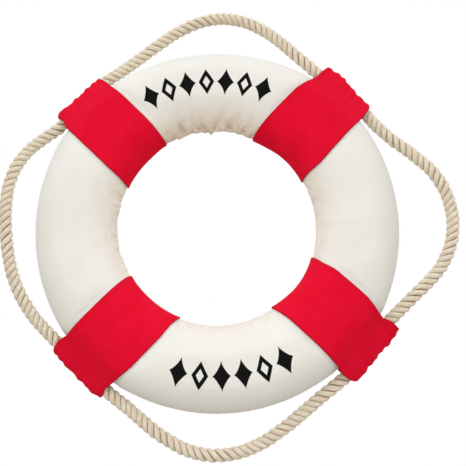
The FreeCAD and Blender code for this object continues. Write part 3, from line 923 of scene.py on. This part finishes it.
class Band:
    """A strip pulled tight round the ring and the rope, slice by slice across its width."""

    centre = 143.0 * MM       # of the slices' polar coordinates, from the ring's axis
    mean_reach = 45.0 * MM    # from that centre to the cloth, for the size of its weave
    overlap_angle = math.radians(144.0)     # where its outer end lies, on the back by the hole
    overlap_length = math.radians(24.0)

    def __init__(self, name, rope):
        self.name = name
        self.outward, self.across, self.offset = band_axes(name)
        self.slices, self.rays = 105, 300
        self.w = np.linspace(-0.5, 0.5, self.slices) * BAND_WIDTH
        self.ray = TURN * np.arange(self.rays) / self.rays
        self.spread = np.linspace(-0.64, 0.64, 131) * BAND_WIDTH    # the slices that are wrapped
        self.rope_points = self.strand_points(rope)
        self.wrapped = self.wrap()
        self.shape()

    def strand_points(self, rope):
        """Points on the strands near the band, as (across, outward, back)."""
        start, end = rope.spans[self.name]
        s = np.arange(start - 16 * MM, end + 16 * MM, 0.4 * MM)
        rng = np.random.default_rng(1)
        clouds = [rope.strand(s, number, rng)[0].reshape(-1, 3) for number in range(STRANDS)]
        points = np.concatenate(clouds)
        return np.stack([points @ self.across, points @ self.outward, points[:, 1]], axis=1)

    def wrap(self):
        """Each slice's distance from its centre to a tight cloth's outside, along each ray."""
        pulls = TURN * np.arange(720) / 720
        directions = np.stack([np.cos(pulls), np.sin(pulls)], axis=1)
        rays = np.stack([np.cos(self.ray), np.sin(self.ray)], axis=1)
        facing = rays @ directions.T
        walked = np.linspace(0, HALF_GIRTH, 90)
        radius, height, _, _ = section(walked)
        reach = []
        for w in self.spread:
            q = self.offset + w
            angle = math.radians(BANDS[self.name][0]) + np.arcsin(q / radius)
            x = np.sqrt(section(walked, angle)[0] ** 2 - q ** 2) - self.centre
            ring = np.stack([np.tile(x, 2), np.concatenate([height, -height])], axis=1)
            near = self.rope_points[np.abs(self.rope_points[:, 0] - q) < 0.5 * MM]
            rope = near[:, 1:] - [self.centre, 0]
            support = (np.concatenate([ring, rope]) @ directions.T).max(axis=0)
            support = support + BAND_GAP + BAND_CLOTH
            far = np.where(facing > 0.05, support[None, :] / np.maximum(facing, 0.05), np.inf)
            reach.append(far.min(axis=1))
        step = self.spread[1] - self.spread[0]
        return smooth_rows(np.array(reach), 1.4 * MM / step)

    def tight(self, w):
        """The tight cloth's distances at a grid of places across the band, ray by ray."""
        columns = zip(w.T, self.wrapped.T)
        return np.stack([np.interp(places, self.spread, reach) for places, reach in columns], axis=1)

    def shape(self):
        """The grid of the cloth: where across the band each point lies, and how far out."""
        w = np.repeat(self.w[:, None], self.rays, axis=1)
        ray = np.broadcast_to(self.ray[None, :], w.shape)
        reach = self.tight(w)
        x = self.centre + reach * np.cos(ray)
        by_rope = smoothstep(166 * MM, 180 * MM, x)
        on_back = smoothstep(0.0, 0.5, np.sin(ray))
        places = np.array(EDGE_PLACES) * MM
        right, left = (np.interp(x, places, np.array(side) * MM) for side in BAND_EDGES[self.name])
        drawn_in = BACK_DRAWN_IN * by_rope * on_back
        share = w / (BAND_WIDTH / 2)
        w = w - (right - drawn_in) * np.clip(-share, 0, 1) ** 1.5
        w = w + (left - drawn_in) * np.clip(share, 0, 1) ** 1.5
        ends = np.array(BAND_ENDS[self.name]) * MM
        stands_out = np.interp(w, np.linspace(-0.5, 0.5, len(ends)) * BAND_WIDTH, ends)
        rng = np.random.default_rng(len(self.name) + ord(self.name[-1]))
        lobes = np.zeros(w.shape)
        for _ in range(6):
            length = rng.uniform(8.0, 17.0) * MM
            lobes += np.sin(TURN * w / length + rng.uniform(0, TURN) + np.sin(ray) * rng.uniform(-2, 2))
        loose = (stands_out + 0.28 * MM * lobes) * smoothstep(170 * MM, 188 * MM, x)
        self.places = w
        self.reach = smooth_rows(self.tight(w) + loose, 1.0)

    def point(self, ray, reach):
        """The places in the row frame of the grid's points, at these distances."""
        x = self.centre + reach * np.cos(ray)
        back = reach * np.sin(ray)
        return (x[..., None] * self.outward + (self.offset + self.places)[..., None] * self.across
                + back[..., None] * BACK)

    def surface(self):
        """The outside's distances with its hems, its overlap and some slack worked in."""
        w, ray = self.w[:, None], self.ray[None, :]
        from_edge = BAND_WIDTH / 2 - np.abs(w)
        hem = 0.2 * MM * (1 - smoothstep(3.0 * MM, 3.8 * MM, from_edge))
        past = (ray - self.overlap_angle + self.overlap_length) / self.overlap_length
        overlap = 0.7 * MM * smoothstep(0.0, 0.6, past) * (1 - smoothstep(1.0, 1.015, past))
        rng = np.random.default_rng(len(self.name))
        slack = np.zeros(np.broadcast(w, ray).shape)
        for _ in range(10):
            k, m = rng.integers(1, 7), rng.uniform(-5.4, 5.4)
            slack += np.sin(k * ray + m * w / (BAND_WIDTH / 2) + rng.uniform(0, TURN))
        return self.reach + hem + overlap + 0.05 * MM * slack, from_edge

    def make(self, material):
        outside, from_edge = self.surface()
        ray = np.broadcast_to(self.ray[None, :], outside.shape)
        rounded = 0.35 * MM * (1 - smoothstep(0, 0.6 * MM, from_edge))
        self.outer = self.point(ray, outside - rounded)
        inner = self.point(ray, self.reach - BAND_CLOTH + rounded)[::-1]
        grid = np.concatenate([self.outer, inner])
        faces = grid_faces(len(grid), self.rays, wrap_columns=True, wrap_rows=True)
        piece = mesh_object("band_cloth_" + self.name, grid, turned_over(faces), material)
        u = np.concatenate([self.places, self.places[::-1]])
        set_uv(piece, u, np.broadcast_to(self.ray * self.mean_reach, u.shape))
        # The band material paints shade along the rolled edges from this.
        edge = np.broadcast_to(1 - smoothstep(0.3 * MM, 1.4 * MM, from_edge), outside.shape)
        set_share(piece, "edge", np.concatenate([edge, edge[::-1]]))
        on_ring(piece, "band_" + self.name)

    def away(self, ray):
        """The direction of a ray in the row frame."""
        return math.cos(ray) * self.outward + math.sin(ray) * BACK

    def on_cloth(self, w, ray, lift):
        """A place at w across the outside of the cloth and at a ray round it, lifted off it."""
        i = min(max((w / BAND_WIDTH + 0.5) * (self.slices - 1), 0), self.slices - 1.001)
        j = ray / TURN * self.rays
        i0, j0 = int(i), int(j)
        rows = self.outer[i0] * (1 - i + i0) + self.outer[i0 + 1] * (i - i0)
        place = rows[j0 % self.rays] * (1 - j + j0) + rows[(j0 + 1) % self.rays] * (j - j0)
        return place + lift * self.away(ray)

    def make_stitches(self, material):
        """The closing seam on the back, and a row of stitches along each edge."""
        seam_ray = self.overlap_angle - math.radians(2.5)
        rise = 0.3 * MM * self.away(seam_ray)
        ends, lifts = [], []
        for w in np.linspace(-27.0, 24.0, 18) * MM:
            ends.append([self.on_cloth(place, seam_ray, -0.1 * MM) for place in (w, w + 2.3 * MM)])
            lifts.append(rise)
        stitch_mesh("closing_stitches_" + self.name, ends, lifts, 0.55 * MM, material,
                    "band_thread_" + self.name)
        ends, lifts = [], []
        step = math.radians(3.6)
        for w in (HEM - BAND_WIDTH / 2, BAND_WIDTH / 2 - HEM):
            for ray in np.arange(0, TURN - step / 2, step):
                a, b = (self.on_cloth(w, r, -0.12 * MM) for r in (ray, ray + 0.75 * step))
                ends.append((a, b))
                lifts.append(0.16 * MM * self.away(ray))
        stitch_mesh("hem_stitches_" + self.name, ends, lifts, 0.35 * MM, material)


# ---------------------------------------------------------------- the printed ornament

def superellipse(theta, wide, high, power):
    """Points of a four-pointed or rounded outline, in the directions theta."""
    c, s = np.cos(theta), np.sin(theta)
    size = (np.abs(c / wide) ** power + np.abs(s / high) ** power) ** (-1 / power)
    return size * c, size * s


def make_print(name, tree, kinds, first, last, middle_radius, material):
    """A row of marks round the ring, laid on the cover's front."""
    rings, spokes = 10, 72
    theta = TURN * np.arange(spokes) / spokes
    points, faces = [], []
    for number, kind in enumerate(kinds):
        a = math.radians(first + (last - first) * number / (len(kinds) - 1))
        open_share, *shape = MARKS[kind]
        share = np.linspace(open_share, 1, rings)[:, None]
        across, up = superellipse(theta, *shape)
        radius = middle_radius + share * up
        angle = a - share * across / middle_radius
        x, z = radius * np.cos(angle), radius * np.sin(angle)
        for px, pz in zip(x.ravel(), z.ravel()):
            place = tree.ray_cast(Vector((px, -0.1, pz)), Vector((0, 1, 0)))[0]
            points.append((px, place.y - INK_LIFT, pz))
        faces += grid_faces(rings, spokes, wrap_rows=True, start=number * rings * spokes)
    piece = mesh_object(name, points, faces, material)
    weld_points(piece)
    on_ring(piece)


# ---------------------------------------------------------------- the whole scene

def main():
    bpy.context.scene.view_settings.view_transform = "Standard"
    make_camera()
    rope_cotton = make_rope_cotton()
    rope = Rope()
    make_loops(rope, rope_cotton)
    make_held_ropes(rope, rope_cotton)

    make_world()
    make_softbox("softbox_above", (-0.5, -1.0, 1.3), width=1.2, watts=3.4)
    make_softbox("softbox_front", (0.0, -0.34, 0.02), width=0.25, watts=0.26)
    make_floor()

    canvas = make_canvas()
    foam = make_foam()
    white_thread = make_thread("seam_thread", (0.72, 0.70, 0.65))
    red_thread = make_thread("band_thread", (0.72, 0.005, 0.03))
    moved = simulate_cover()
    front, front_tree = make_cover(-1, "canvas_front", "cover_front_panel", canvas, moved)
    make_cover(1, "canvas_back", "cover_back_panel", canvas, moved)
    make_foam_half(-1, "foam_beads_front", "foam_core_front", foam)
    make_foam_half(1, "foam_beads_back", "foam_core_back", foam)
    make_seam_stitches("rim_stitches", front[:, 0], 1, "outer_seam_thread", white_thread)
    make_seam_stitches("hole_stitches", front[:, -1], -1, "inner_seam_thread", white_thread)

    red = make_band_cotton()
    for name in BANDS:
        band = Band(name, rope)
        band.make(red)
        band.make_stitches(red_thread)

    ink = make_ink()
    for name, (kinds, first, last, radius) in PRINTS.items():
        make_print(name, front_tree, kinds, first, last, radius, ink)

    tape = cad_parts["rope_end_tape"]
    tape.data.materials.clear()
    tape.data.materials.append(make_tape())


main()
bpy.context.view_layer.update()
